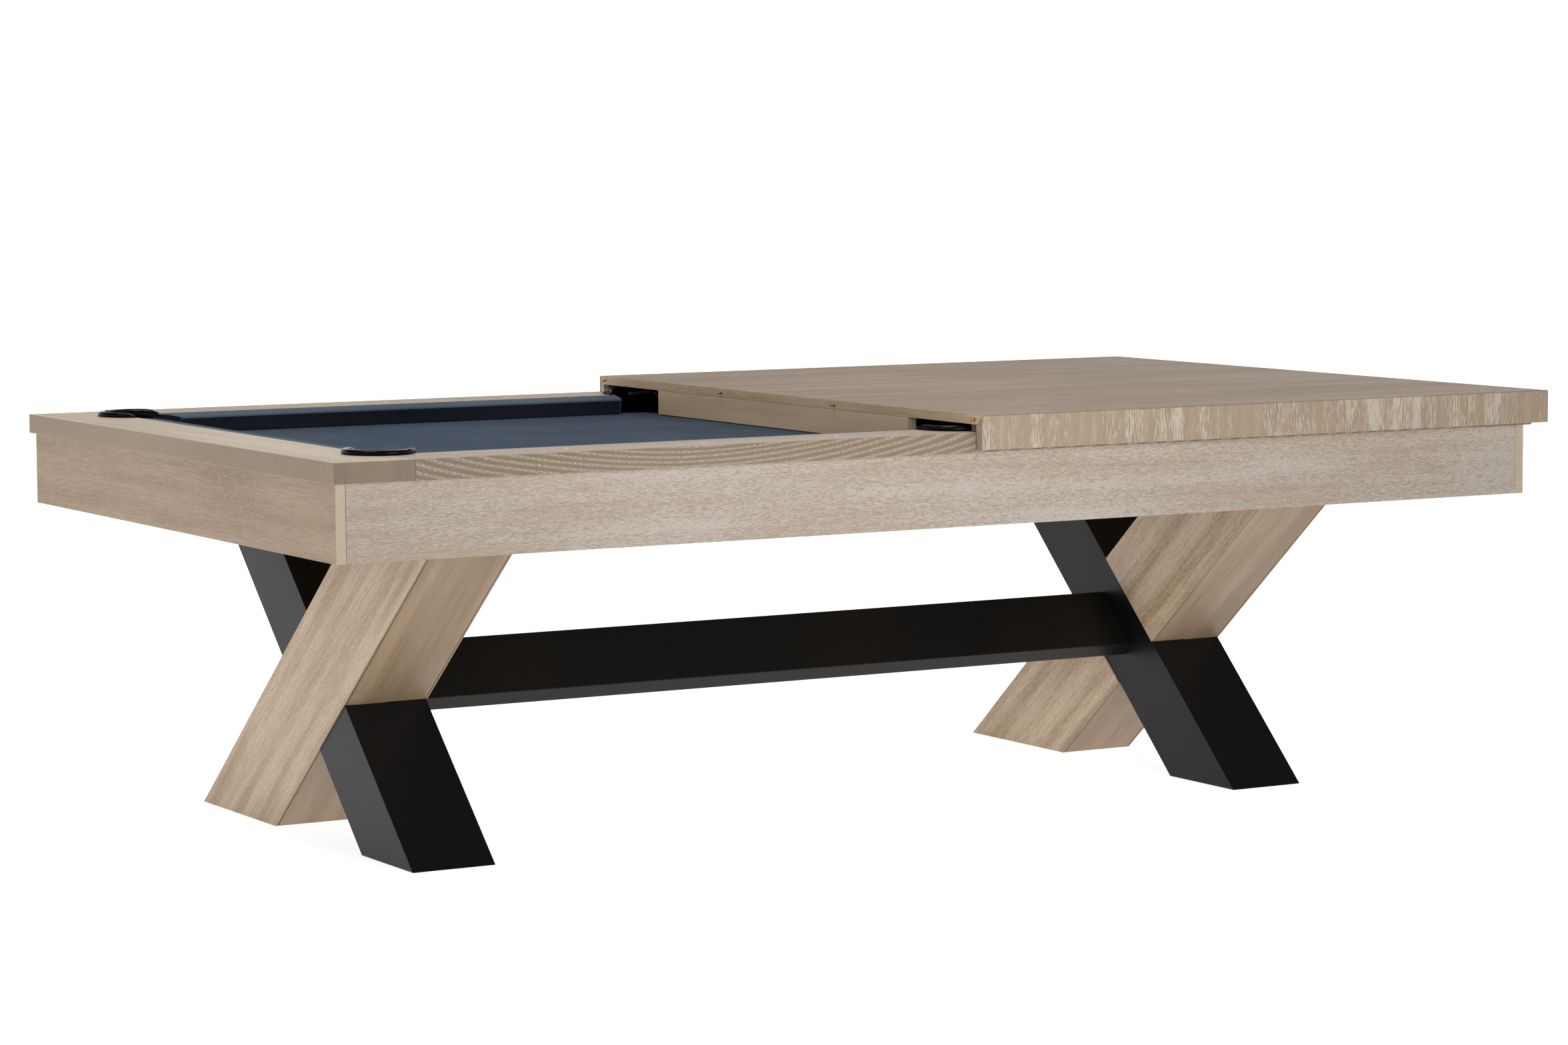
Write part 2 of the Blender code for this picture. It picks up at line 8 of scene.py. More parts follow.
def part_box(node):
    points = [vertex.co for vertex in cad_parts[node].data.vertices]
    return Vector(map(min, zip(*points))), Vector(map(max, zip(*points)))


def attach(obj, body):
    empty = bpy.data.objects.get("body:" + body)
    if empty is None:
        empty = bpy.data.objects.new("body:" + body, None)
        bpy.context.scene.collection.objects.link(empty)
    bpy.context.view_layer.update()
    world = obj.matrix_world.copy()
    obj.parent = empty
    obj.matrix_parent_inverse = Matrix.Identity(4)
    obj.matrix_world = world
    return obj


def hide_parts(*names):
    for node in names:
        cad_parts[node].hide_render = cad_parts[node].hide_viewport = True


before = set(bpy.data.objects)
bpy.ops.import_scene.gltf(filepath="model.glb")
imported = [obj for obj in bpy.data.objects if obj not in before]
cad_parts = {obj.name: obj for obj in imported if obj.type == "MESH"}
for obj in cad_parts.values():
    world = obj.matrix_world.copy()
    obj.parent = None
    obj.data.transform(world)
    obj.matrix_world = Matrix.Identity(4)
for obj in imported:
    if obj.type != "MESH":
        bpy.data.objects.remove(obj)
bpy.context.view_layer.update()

# Pool table with a two-panel dining top over its right-hand half.  Metres, +Z up, the
# near side is -Y and the left end is -X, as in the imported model.

# ------------------------------------------------------------------ places from the CAD
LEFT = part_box("end_rail_left")[0].x
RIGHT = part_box("end_rail_right")[1].x
MID = (LEFT + RIGHT) / 2
RAIL_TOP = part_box("end_rail_left")[1].z
RAIL_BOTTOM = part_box("end_rail_left")[0].z
WOOD_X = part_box("cushion_end_right")[1].x - MID     # inner wood edge of an end rail
NOSE_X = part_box("cushion_end_right")[0].x - MID
WOOD_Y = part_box("cushion_far_left")[1].y
NOSE_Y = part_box("cushion_far_left")[0].y
BUCKET_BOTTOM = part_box("pocket_far_right")[0].z

# ------------------------------------------------------------------ the sizes of the looks
POCKET_X, POCKET_Y = 1.12, 0.56       # a corner pocket's centre, from the bed's own middle
SIDE_POCKET_Y = 0.612                 # a middle pocket's centre
CORNER_ARM, CORNER_SPREAD = 0.030, 0.005    # how far a collar's arms run and flare
SIDE_ARM, SIDE_SPREAD = 0.020, 0.014
THROAT = 0.0475                       # radius of the collar's inside edge
COLLAR_WALL = 0.0004                  # thickness given to the collar's skin
CUP_TOP = 0.0425                      # bucket's rim below the rail top
CLEAR = 0.0003                        # gap that keeps neighbouring pieces apart
SIGHT_INSET_SIDE, SIGHT_INSET_END = 0.060, 0.070   # from the rail's inner wood edge
LEG_ANGLE = {"pale": math.radians(40.0), "black": math.radians(43.6)}
JOINT_INSET = 0.0045                  # joint line in from a leg's outer faces
FLAT = math.radians(0.5)              # faces that turn by less than this count as one
MERGE = 1e-5                          # vertices closer than this count as one
X, Y, Z = (1, 0, 0), (0, 1, 0), (0, 0, 1)
ENDS = (("left", -1), ("right", 1))
SIDES = (("near", -1), ("far", 1))


# ------------------------------------------------------------------ node helper
class Nodes:
    """A material under construction, with short calls to add and join its nodes."""

    def __init__(self, name):
        self.material = bpy.data.materials.new(name)
        self.material.use_nodes = True
        self.tree = self.material.node_tree
        self.shader = self.tree.nodes["Principled BSDF"]

    def feed(self, socket, value):
        if isinstance(value, bpy.types.NodeSocket):
            self.tree.links.new(value, socket)
        else:
            socket.default_value = value

    def add(self, kind, inputs, output=0, **settings):
        node = self.tree.nodes.new("ShaderNode" + kind)
        for key, value in settings.items():
            setattr(node, key, value)
        for key, value in inputs.items():
            self.feed(node.inputs[key], value)
        return node.outputs[output]

    def math(self, operation, *values):
        return self.add("Math", dict(enumerate(values)), operation=operation)

    def vector(self, operation, *values):
        return self.add("VectorMath", dict(enumerate(values)), operation=operation)

    def place(self):
        return self.add("TexCoord", {}, output=3)

    def noise(self, vector, scale=1.0, detail=2.0, roughness=0.5):
        inputs = {"Vector": vector, "Scale": scale, "Detail": detail, "Roughness": roughness}
        return self.add("TexNoise", inputs)

    def step(self, value, low, high, to_low=0.0, to_high=1.0):
        inputs = {"Value": value, "From Min": low, "From Max": high,
                  "To Min": to_low, "To Max": to_high}
        return self.add("MapRange", inputs, interpolation_type="SMOOTHSTEP")

    def mix(self, factor, first, second, blend="MIX"):
        return self.add("Mix", {0: factor, 6: first, 7: second}, output=2,
                        data_type="RGBA", blend_type=blend)

    def tint(self, colour, factor):
        return self.mix(1.0, colour, (*factor, 1), "MULTIPLY")

    def bump(self, height, strength, distance, normal=None):
        inputs = {"Strength": strength, "Distance": distance, "Height": height}
        if normal is not None:
            inputs["Normal"] = normal
        return self.add("Bump", inputs)

    def finish(self, **sockets):
        for key, value in sockets.items():
            self.feed(self.shader.inputs[key.replace("_", " ")], value)
        return self.material


def rgb(red, green, blue):
    """Linear colour from 0-255 screen values."""
    def linear(value):
        value /= 255
        return value / 12.92 if value <= 0.04045 else ((value + 0.055) / 1.055) ** 2.4
    return (linear(red), linear(green), linear(blue), 1)


# ------------------------------------------------------------------ wood
def board_place(n, grain, face, shift=0.0):
    """Object coordinates turned so that x follows the grain and z leaves the face."""
    long_axis, up_axis = Vector(grain).normalized(), Vector(face).normalized()
    rows = Matrix((long_axis, up_axis.cross(long_axis), up_axis))
    return n.add("Mapping", {"Vector": n.place(), "Rotation": rows.to_euler("XYZ"),
                             "Location": (shift, shift * 0.37, shift * 0.61)})


def sway(n, place, scales, detail, reach):
    """A smooth sideways displacement, across the grain only."""
    noise = n.add("TexNoise", {"Vector": n.vector("MULTIPLY", place, scales),
                               "Scale": 1.0, "Detail": detail}, output=1)
    centred = n.vector("SUBTRACT", noise, (0.5, 0.5, 0.5))
    return n.vector("MULTIPLY", centred, (0.0, reach, reach))


def ring_phase(n, place, ring, pith, slope):
    """How far a point lies from one growth ring (0) to the next (1)."""
    axes = n.tree.nodes.new("ShaderNodeSeparateXYZ")
    n.feed(axes.inputs[0], place)
    across = n.math("ADD", axes.outputs[1], pith[0])
    behind = n.math("ADD", n.math("MULTIPLY", axes.outputs[0], slope),
                    n.math("ADD", axes.outputs[2], pith[1]))
    radius = n.math("SQRT", n.math("ADD", n.math("MULTIPLY", across, across),
                                   n.math("MULTIPLY", behind, behind)))
    return n.math("FRACT", n.math("DIVIDE", radius, ring))


def wood(name, grain, face, base, streak, lime, ring=0.0045, pith=(0.25, 0.0), slope=0.0,
         wander=0.004, lime_rings=0.5, lime_pores=0.5, streaks=0.6, rough=0.5, shift=0.0,
         pore_bump=0.25, cover=0.5, pore_size=(110.0, 760.0), patch=0.5, dark_pores=0.0,
         mirror=0.3, late_dark=0.25):
    """Limed ash.  grain and face are the board's long direction and the normal of its
    widest face; pith is where the heart of the tree lies from the board's own axis,
    across the face and behind it, and slope tilts it so that the rings run out in arches.
    """
    n = Nodes(name)
    place = board_place(n, grain, face, shift)
    drift = sway(n, place, (1.3, 7.0, 7.0), 3.0, wander * 10)
    ripple = sway(n, place, (9.0, 45.0, 45.0), 2.0, wander)
    moved = n.vector("ADD", n.vector("ADD", place, drift), ripple)
    phase = ring_phase(n, moved, ring, pith, slope)
    early = n.math("MULTIPLY", n.step(phase, 0.0, 0.12), n.step(phase, 0.62, 0.34))
    late = n.step(phase, 0.45, 1.0)

    pore_run, pore_across = pore_size
    pores = n.noise(n.vector("MULTIPLY", place, (pore_run, pore_across, pore_across)),
                    roughness=0.6)
    fibre = n.noise(n.vector("MULTIPLY", place, (22.0, 260.0, 260.0)), detail=3.0,
                    roughness=0.6)
    bands = n.noise(n.vector("MULTIPLY", place, (1.7, 26.0, 26.0)), detail=3.0)
    cloud = n.noise(n.vector("MULTIPLY", place, (2.2, 5.0, 5.0)))
    tone = n.math("ADD", n.math("MULTIPLY", bands, 0.65), n.math("MULTIPLY", cloud, 0.35))

    # bare wood: broad bands, fine fibre, and darker late wood
    colour = n.mix(n.step(tone, 0.36, 0.64), base, streak)
    shade = n.mix(n.step(fibre, 0.3, 0.7), (0.86, 0.86, 0.86, 1), (1.1, 1.1, 1.1, 1))
    colour = n.mix(streaks, colour, n.mix(1.0, colour, shade, "MULTIPLY"))
    colour = n.mix(n.math("MULTIPLY", late, late_dark * streaks), colour,
                   n.tint(colour, (0.72, 0.66, 0.6)))

    # white filler in the open early rings, and in loose pores, more of it in the streaks
    open_rings = n.math("MULTIPLY", early, n.step(pores, 0.46, 0.58))
    patchy = n.math("ADD", pores, n.math("MULTIPLY", n.math("SUBTRACT", tone, 0.5), patch))
    loose = n.step(patchy, 0.64 - 0.2 * cover, 0.76 - 0.2 * cover)
    white = n.math("MAXIMUM", n.math("MULTIPLY", open_rings, lime_rings),
                   n.math("MULTIPLY", loose, lime_pores))
    colour = n.mix(white, colour, lime)
    if dark_pores:
        closed = n.math("MULTIPLY", n.step(pores, 0.46, 0.36), dark_pores)
        colour = n.mix(closed, colour, n.tint(colour, (0.45, 0.38, 0.32)))

    height = n.math("SUBTRACT", n.math("MULTIPLY", fibre, 0.4), n.step(pores, 0.5, 0.66))
    gloss = n.math("ADD", n.math("MULTIPLY", white, 0.18),
                   n.math("ADD", n.math("MULTIPLY", fibre, 0.12), rough - 0.06))
    return n.finish(Base_Color=colour, Roughness=gloss, Specular_IOR_Level=mirror,
                    Normal=n.bump(height, pore_bump, 0.0004))


LEG_RUN = {
    "pale": Vector((0, -math.cos(LEG_ANGLE["pale"]), math.sin(LEG_ANGLE["pale"]))),
    "black": Vector((0, math.cos(LEG_ANGLE["black"]), math.sin(LEG_ANGLE["black"]))),
}
LEG_FACE = Vector((0, math.sin(LEG_ANGLE["pale"]), math.cos(LEG_ANGLE["pale"])))

APRON_SIDE = wood("apron_side", X, Y, rgb(149, 133, 115), rgb(137, 120, 102),
                  rgb(176, 171, 165), ring=0.011, pith=(0.5, 0.03), wander=0.004,
                  lime_rings=0.15, lime_pores=0.7, cover=1.0, pore_size=(115.0, 1500.0),
                  patch=0.7, streaks=0.7, shift=0.7)
APRON_STRIP = wood("apron_strip", Z, Y, rgb(170, 155, 136), rgb(162, 146, 126),
                   rgb(186, 174, 158), ring=0.006, pith=(0.2, 0.05), lime_rings=0.15,
                   lime_pores=0.25, streaks=0.35, shift=5.1)
APRON_END = wood("apron_end", Y, X, rgb(164, 142, 118), rgb(141, 118, 94),
                 rgb(192, 176, 155), ring=0.0085, pith=(-0.05, 0.2), slope=0.05,
                 wander=0.006, lime_rings=0.2, lime_pores=0.45, streaks=0.9, cover=0.6,
                 pore_size=(90.0, 1000.0), late_dark=0.15, shift=1.9)
RAIL_FACE = wood("rail_face", X, Y, rgb(120, 104, 86), rgb(112, 96, 77),
                 rgb(172, 162, 146), ring=0.0085, pith=(0.83, 0.84), slope=0.22,
                 wander=0.0022, lime_rings=0.9, lime_pores=0.08, streaks=0.3, cover=0.2,
                 pore_size=(190.0, 1200.0), shift=0.0)
RAIL_TOP_SIDE = wood("rail_top_side", X, Z, rgb(172, 155, 135), rgb(157, 139, 118),
                     rgb(190, 177, 160), ring=0.009, pith=(0.2, 0.05), slope=0.03,
                     wander=0.008, lime_rings=0.2, lime_pores=0.2, streaks=0.4,
                     cover=0.6, shift=3.7)
# the end rails' tops: the same wood as the side rails' tops, made lighter as painted light
RAIL_TOP_END_LIT = wood("rail_top_end_lit", Y, Z, rgb(200, 184, 161), rgb(180, 162, 138),
                    rgb(214, 203, 185), ring=0.009, pith=(0.2, 0.05), slope=0.03,
                    wander=0.008, lime_rings=0.2, lime_pores=0.2, streaks=0.4,
                    cover=0.6, shift=3.1)
RAIL_OUTER = wood("rail_outer", Y, X, rgb(150, 131, 109), rgb(138, 118, 96),
                  rgb(170, 155, 135), ring=0.004, pith=(0.3, 0.05), lime_rings=0.1,
                  lime_pores=0.4, streaks=0.45, cover=0.6, pore_size=(260.0, 820.0),
                  shift=2.6)
RAIL_BLOCK = wood("rail_block", Z, Y, rgb(121, 107, 88), rgb(109, 95, 77),
                  rgb(132, 121, 104), ring=0.004, pith=(0.1, 0.05), lime_rings=0.05,
                  lime_pores=0.3, streaks=0.35, cover=0.5, pore_size=(300.0, 500.0),
                  shift=4.6)
DINING_TOP = wood("dining_top", X, Z, rgb(155, 132, 107), rgb(134, 111, 87),
                  rgb(180, 162, 143), ring=0.016, pith=(0.06, 0.12), slope=0.02,
                  wander=0.02, lime_rings=0.1, lime_pores=0.15, streaks=0.3, rough=0.52,
                  mirror=0.15, pore_bump=0.05, shift=5.3)
DINING_EDGE = wood("dining_edge", Y, X, rgb(187, 163, 130), rgb(168, 144, 113),
                   rgb(202, 184, 154), ring=0.0042, pith=(0.5, 0.01), slope=0.004,
                   wander=0.002, lime_rings=0.5, lime_pores=0.25,
                   pore_size=(26.0, 900.0), shift=2.3)
SKIRT = wood("skirt", Z, Y, rgb(146, 128, 107), rgb(137, 119, 98), rgb(176, 166, 151),
             ring=0.03, pith=(0.35, 0.05), slope=0.05, wander=0.01, lime_rings=0.25,
             lime_pores=0.85, streaks=0.35, cover=0.65, pore_size=(50.0, 640.0),
             patch=1.4, shift=0.4)
SKIRT_END = wood("skirt_end", Z, X, rgb(132, 114, 94), rgb(124, 105, 85),
                 rgb(156, 144, 128), ring=0.012, pith=(0.35, 0.05), slope=0.1,
                 wander=0.01, lime_rings=0.5, lime_pores=0.25, streaks=0.4, shift=0.9)
BATTEN = wood("batten", Y, X, rgb(194, 171, 141), rgb(176, 154, 124), rgb(218, 203, 178),
              ring=0.02, pith=(0.06, 0.05), wander=0.01, lime_rings=0.04,
              lime_pores=0.25, streaks=0.2, cover=0.1, pore_size=(70.0, 600.0),
              pore_bump=0.08, shift=4.0)
LEG_PALE = wood("leg_pale", LEG_RUN["pale"], X, rgb(204, 181, 155), rgb(166, 140, 111),
                rgb(214, 197, 174), ring=0.0075, pith=(0.3, 0.05), wander=0.006,
                lime_rings=0.2, lime_pores=0.2, streaks=0.9, rough=0.48, dark_pores=0.5,
                shift=6.2)
# the pale legs' broad faces along LEG_FACE: plainer grain, and a much darker colour that is
# painted shade on the near-down face
LEG_PALE_SHADED_FACE = wood("leg_pale_shaded_face", LEG_RUN["pale"], LEG_FACE, rgb(152, 130, 107),
                     rgb(131, 109, 86), rgb(162, 144, 123), ring=0.012, pith=(0.2, 0.08),
                     slope=0.02, wander=0.012, lime_rings=0.1, lime_pores=0.08,
                     streaks=0.5, rough=0.45, shift=7.1)
TIMBER = wood("frame_timber", X, Z, rgb(176, 142, 100), rgb(160, 124, 84),
              rgb(186, 156, 116), ring=0.006, pith=(0.1, 0.05), wander=0.008,
              lime_rings=0.2, lime_pores=0.1, rough=0.7, shift=8.0)


# ------------------------------------------------------------------ other materials
def lacquer(name, grain, face, low=rgb(14, 14, 15), high=rgb(25, 25, 26)):
    """Satin black over open-grained wood: the pores still print through faintly."""
    n = Nodes(name)
    place = board_place(n, grain, face)
    pores = n.noise(n.vector("MULTIPLY", place, (60.0, 520.0, 520.0)), detail=3.0)
    speck = n.noise(place, scale=900.0)
    cloud = n.noise(place, scale=3.0, detail=3.0)
    colour = n.mix(n.step(speck, 0.45, 0.75), low, high)
    gloss = n.math("ADD", n.math("MULTIPLY", cloud, 0.12),
                   n.math("ADD", n.math("MULTIPLY", pores, 0.1), 0.27))
    height = n.math("ADD", n.step(pores, 0.35, 0.6), n.math("MULTIPLY", speck, 0.3))
    return n.finish(Base_Color=colour, Roughness=gloss, Specular_IOR_Level=0.17,
                    Normal=n.bump(height, 0.12, 0.0003))


def cloth(name, base, light, nap=0.04):
    """Close wool cloth: a fine twill under a short nap, with a little lint and wear."""
    n = Nodes(name)
    place = n.place()
    weave = n.add("TexWave", {"Vector": place, "Scale": 420.0, "Distortion": 2.0,
                              "Detail": 1.0, "Detail Scale": 3.0},
                  bands_direction="DIAGONAL", output=1)
    nap_noise = n.noise(place, scale=1400.0, detail=3.0, roughness=0.7)
    cloud = n.noise(place, scale=5.0, detail=4.0, roughness=0.55)
    lint = n.step(n.noise(place, scale=260.0, detail=2.0), 0.7, 0.78)
    colour = n.mix(n.step(cloud, 0.35, 0.7), base, light)
    colour = n.mix(n.math("MULTIPLY", nap_noise, 0.35), colour,
                   n.tint(colour, (0.6, 0.6, 0.62)))
    colour = n.mix(n.math("MULTIPLY", weave, 0.12), colour, light)
    colour = n.mix(n.math("MULTIPLY", lint, 0.06), colour, rgb(140, 150, 160))
    height = n.math("ADD", n.math("MULTIPLY", weave, 0.5), nap_noise)
    return n.finish(Base_Color=colour, Roughness=0.95, Specular_IOR_Level=0.08,
                    Sheen_Weight=nap, Sheen_Roughness=0.5,
                    Normal=n.bump(height, 0.35, 0.0004))


def moulding(name):
    """Glossy black moulded pocket: a faint leather-like relief and light scuffs."""
    n = Nodes(name)
    place = n.place()
    cells = n.add("TexVoronoi", {"Vector": place, "Scale": 330.0}, feature="F1")
    waves = n.noise(place, scale=85.0, detail=3.0)
    scuff = n.step(n.noise(n.vector("MULTIPLY", place, (60.0, 60.0, 260.0)), detail=3.0),
                   0.58, 0.75)
    colour = n.mix(n.math("MULTIPLY", scuff, 0.2), rgb(7, 7, 8), rgb(22, 21, 22))
    gloss = n.math("ADD", n.math("MULTIPLY", scuff, 0.08), 0.15)
    first = n.bump(waves, 0.35, 0.0012)
    return n.finish(Base_Color=colour, Roughness=gloss, Specular_IOR_Level=0.09,
                    Normal=n.bump(cells, 0.1, 0.0003, first))


def speckled(name, base, light, rough, scale, metallic=0.0, bump=0.1):
    """Stone, rubber, brass, pearl or a joint line: fine speckle over a soft cloud."""
    n = Nodes(name)
    place = n.place()
    grit = n.noise(place, scale=scale, detail=4.0, roughness=0.65)
    cloud = n.noise(place, scale=scale / 40, detail=3.0)
    colour = n.mix(n.step(grit, 0.35, 0.7), base, light)
    colour = n.mix(n.math("MULTIPLY", cloud, 0.3), colour,
                   n.tint(colour, (0.75, 0.75, 0.75)))
    gloss = n.math("ADD", n.math("MULTIPLY", grit, 0.15), rough - 0.07)
    return n.finish(Base_Color=colour, Roughness=gloss, Metallic=metallic,
                    Normal=n.bump(grit, bump, 0.0003))


LEG_BLACK = lacquer("leg_black", LEG_RUN["black"], X)
STRETCHER = lacquer("stretcher_black", X, LEG_RUN["pale"], rgb(22, 20, 18), rgb(34, 31, 28))
BED_CLOTH = cloth("bed_cloth_wool", rgb(59, 73, 89), rgb(68, 81, 96), nap=0.02)
RAIL_CLOTH = cloth("rail_cloth_wool", rgb(72, 86, 101), rgb(84, 97, 111))
# a darker copy of the rail cloth for the cushions' facings: painted shade under the nose
CUSHION_FACE_SHADE = cloth("cushion_face_wool_painted_shade", rgb(34, 38, 48), rgb(42, 46, 57), nap=0.0)
CLOTH_EDGE = cloth("cloth_edge", rgb(84, 96, 108), rgb(98, 110, 122), nap=0.02)
MOULDING = moulding("pocket_moulding")
JOINT = speckled("joint_line", rgb(74, 56, 42), rgb(96, 76, 58), 0.8, 500.0)
SLATE = speckled("slate_stone", rgb(84, 88, 92), rgb(104, 108, 112), 0.75, 420.0)
PAD = speckled("pad_rubber", rgb(60, 56, 55), rgb(74, 70, 68), 0.85, 800.0)
BRASS = speckled("pin_brass", rgb(168, 122, 66), rgb(190, 144, 84), 0.3, 600.0, 1.0, 0.05)
PEARL = speckled("sight_pearl", rgb(206, 198, 187), rgb(222, 215, 205), 0.3, 300.0)


# ------------------------------------------------------------------ mesh helpers
def from_cad(node):
    """The node's own shape as a clean bmesh, with flat areas as single faces."""
    bm = bmesh.new()
    bm.from_mesh(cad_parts[node].data)
    bmesh.ops.remove_doubles(bm, verts=bm.verts[:], dist=MERGE)
    bmesh.ops.dissolve_limit(bm, angle_limit=FLAT, verts=bm.verts[:], edges=bm.edges[:])
    for face in bm.faces:
        face.material_index = 0
    return bm


def round_edges(obj, width, segments, angle):
    """Round every edge sharper than angle, in degrees."""
    rounding = obj.modifiers.new("rounding", "BEVEL")
    rounding.width = width
    rounding.segments = segments
    rounding.limit_method = "ANGLE"
    rounding.angle_limit = math.radians(angle)


def add_piece(name, bm, body, nodes, materials, bevel=0.0, segments=3, angle=30.0):
    """Make the object with its materials, round its edges, tie it to its CAD body and hide the
    CAD nodes it replaces.
    """
    bmesh.ops.recalc_face_normals(bm, faces=bm.faces[:])
    mesh = bpy.data.meshes.new(name)
    bm.to_mesh(mesh)
    bm.free()
    mesh.shade_smooth()
    for material in materials if isinstance(materials, (list, tuple)) else [materials]:
        mesh.materials.append(material)
    obj = bpy.data.objects.new(name, mesh)
    bpy.context.scene.collection.objects.link(obj)
    if bevel:
        round_edges(obj, bevel, segments, angle)
        flatten = obj.modifiers.new("flatten", "WEIGHTED_NORMAL")
        flatten.mode = "FACE_AREA"
        flatten.weight = 100
    else:
        mesh.set_sharp_from_angle(angle=math.radians(angle))
    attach(obj, body)
    if nodes:
        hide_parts(*nodes)
    return obj


def paint(bm, axis, index, share=0.7):
    """Give the faces looking either way along an axis their own material."""
    axis = Vector(axis).normalized()
    for face in bm.faces:
        face.normal_update()
        if abs(face.normal.dot(axis)) > share:
            face.material_index = index


def groove(bm, place, normal, index, width=0.0008, depth=0.0016):
    """A thin dark joint line round a board, where the plane through place cuts it."""
    normal = Vector(normal)
    for offset in (-width, 0, width):
        bmesh.ops.bisect_plane(bm, geom=bm.verts[:] + bm.edges[:] + bm.faces[:],
                               dist=1e-6, plane_co=Vector(place) + normal * offset,
                               plane_no=normal)
    bm.normal_update()
    middle = [v for v in bm.verts if abs((v.co - Vector(place)).dot(normal)) < MERGE]
    moves = [(v, v.normal - normal * v.normal.dot(normal)) for v in middle]
    for vert, move in moves:
        if move.length > 1e-6:
            vert.co -= move.normalized() * depth
        for face in vert.link_faces:
            face.material_index = index


def circle(bm, centre, radius, count, u=X, v=Y):
    """A ring of vertices about centre, in the plane of u and v."""
    u, v = Vector(u), Vector(v)
    ring = []
    for k in range(count):
        a = 2 * math.pi * k / count
        ring.append(bm.verts.new(centre + (u * math.cos(a) + v * math.sin(a)) * radius))
    return ring


def tube(bm, path, radius, sides):
    """The rings of a round tube along a path."""
    rings = []
    for i, point in enumerate(path):
        ahead, behind = path[min(i + 1, len(path) - 1)], path[max(i - 1, 0)]
        direction = (ahead - behind).normalized()
        side = direction.orthogonal().normalized()
        rings.append(circle(bm, point, radius, sides, side, direction.cross(side)))
    return rings


def loft(bm, rings, closed_section=True, cap=True):
    """Skin consecutive rings of the same length and, with cap, close the two ends."""
    count = len(rings[0])
    for first, second in zip(rings, rings[1:]):
        for k in range(count if closed_section else count - 1):
            m = (k + 1) % count
            bm.faces.new((first[k], first[m], second[m], second[k]))
    if cap:
        bm.faces.new(rings[0])
        bm.faces.new(list(reversed(rings[-1])))


# ------------------------------------------------------------------ aprons, rails, legs
def make_woodwork():
    for end, _ in ENDS:
        bm = from_cad(f"end_apron_{end}")
        paint(bm, Y, 1)
        add_piece(f"end_apron_{end}_wood", bm, "table", [f"end_apron_{end}"],
                  [APRON_END, APRON_STRIP], bevel=0.0009)
        bm = from_cad(f"end_rail_{end}")
        # faces left on index 0, the top, take the lighter copy: painted light
        paint(bm, X, 1)
        paint(bm, Y, 2)
        add_piece(f"end_rail_{end}_wood", bm, "table", [f"end_rail_{end}"],
                  [RAIL_TOP_END_LIT, RAIL_OUTER, RAIL_BLOCK], bevel=0.0007)
        bm = from_cad(f"pale_leg_{end}")
        # the broad faces along LEG_FACE take the darker copy: painted shade
        paint(bm, LEG_FACE, 1)
        for place, sign in zip(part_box(f"pale_leg_{end}"), (1, -1)):
            groove(bm, (place.x + sign * JOINT_INSET, 0, 0), X, 2)
        add_piece(f"pale_leg_{end}_wood", bm, "table", [f"pale_leg_{end}"],
                  [LEG_PALE, LEG_PALE_SHADED_FACE, JOINT], bevel=0.0014)
        bm = from_cad(f"black_leg_{end}")
        add_piece(f"black_leg_{end}_wood", bm, "table",
                  [f"black_leg_{end}"], LEG_BLACK, bevel=0.0012)
    for side, _ in SIDES:
        bm = from_cad(f"side_apron_{side}")
        add_piece(f"side_apron_{side}_wood", bm, "table",
                  [f"side_apron_{side}"], APRON_SIDE, bevel=0.0009)
        bm = from_cad(f"side_rail_{side}")
        paint(bm, Y, 1)
        add_piece(f"side_rail_{side}_wood", bm, "table",
                  [f"side_rail_{side}"], [RAIL_TOP_SIDE, RAIL_FACE], bevel=0.0007)
    bm = from_cad("stretcher")
    add_piece("stretcher_wood", bm, "table", ["stretcher"], STRETCHER,
              bevel=0.0012)


# ------------------------------------------------------------------ bed cloth and cushions
def make_bed_cloth():
    """The stretched sheet, cut round the pockets and turned down over the slate there."""
    bm = from_cad("bed_cloth")
    under = [f for f in bm.faces if f.normal.z < 0.5]
    bmesh.ops.delete(bm, geom=under, context="FACES_ONLY")
    loose = [e for e in bm.edges if not e.link_faces]
    bmesh.ops.delete(bm, geom=loose, context="EDGES")
    low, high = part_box("bed_cloth")

    def on_outer_edge(v):
        return (min(abs(v.co.x - low.x), abs(v.co.x - high.x)) < 1e-4
                or abs(abs(v.co.y) - high.y) < 1e-4)

    rim = [e for e in bm.edges
           if e.is_boundary and not all(on_outer_edge(v) for v in e.verts)]
    for down in (0.0012, 0.004, 0.008):
        made = bmesh.ops.extrude_edge_only(bm, edges=rim)
        verts = [g for g in made["geom"] if isinstance(g, bmesh.types.BMVert)]
        rim = [g for g in made["geom"] if isinstance(g, bmesh.types.BMEdge)]
        for v in verts:
            v.co.z -= down
    area = sum(f.calc_area() for f in bm.faces)
    sheet = add_piece("bed_cloth_sheet", bm, "table", ["bed_cloth"], BED_CLOTH,
                      angle=50)


def cushion_profile(width, top, bottom):
    """Cloth-covered rubber: (reach from the wood, height), round the section."""
    points = [(0.0003, top - 0.0022), (0.0011, top - 0.0009), (0.004, top - 0.0006),
              (width * 0.5, top - 0.0017)]
    nose_z, nose_r = top - 0.009, 0.0042
    for degrees in (80, 58, 34, 10, -16, -42):
        a = math.radians(degrees)
        points.append((width - nose_r + nose_r * math.cos(a), nose_z + nose_r * math.sin(a)))
    points += [(width - 0.0052, top - 0.0195), (width - 0.0074, bottom + 0.0008),
               (width - 0.0086, bottom + 0.0002), (0.0003, bottom + 0.0002)]
    return points


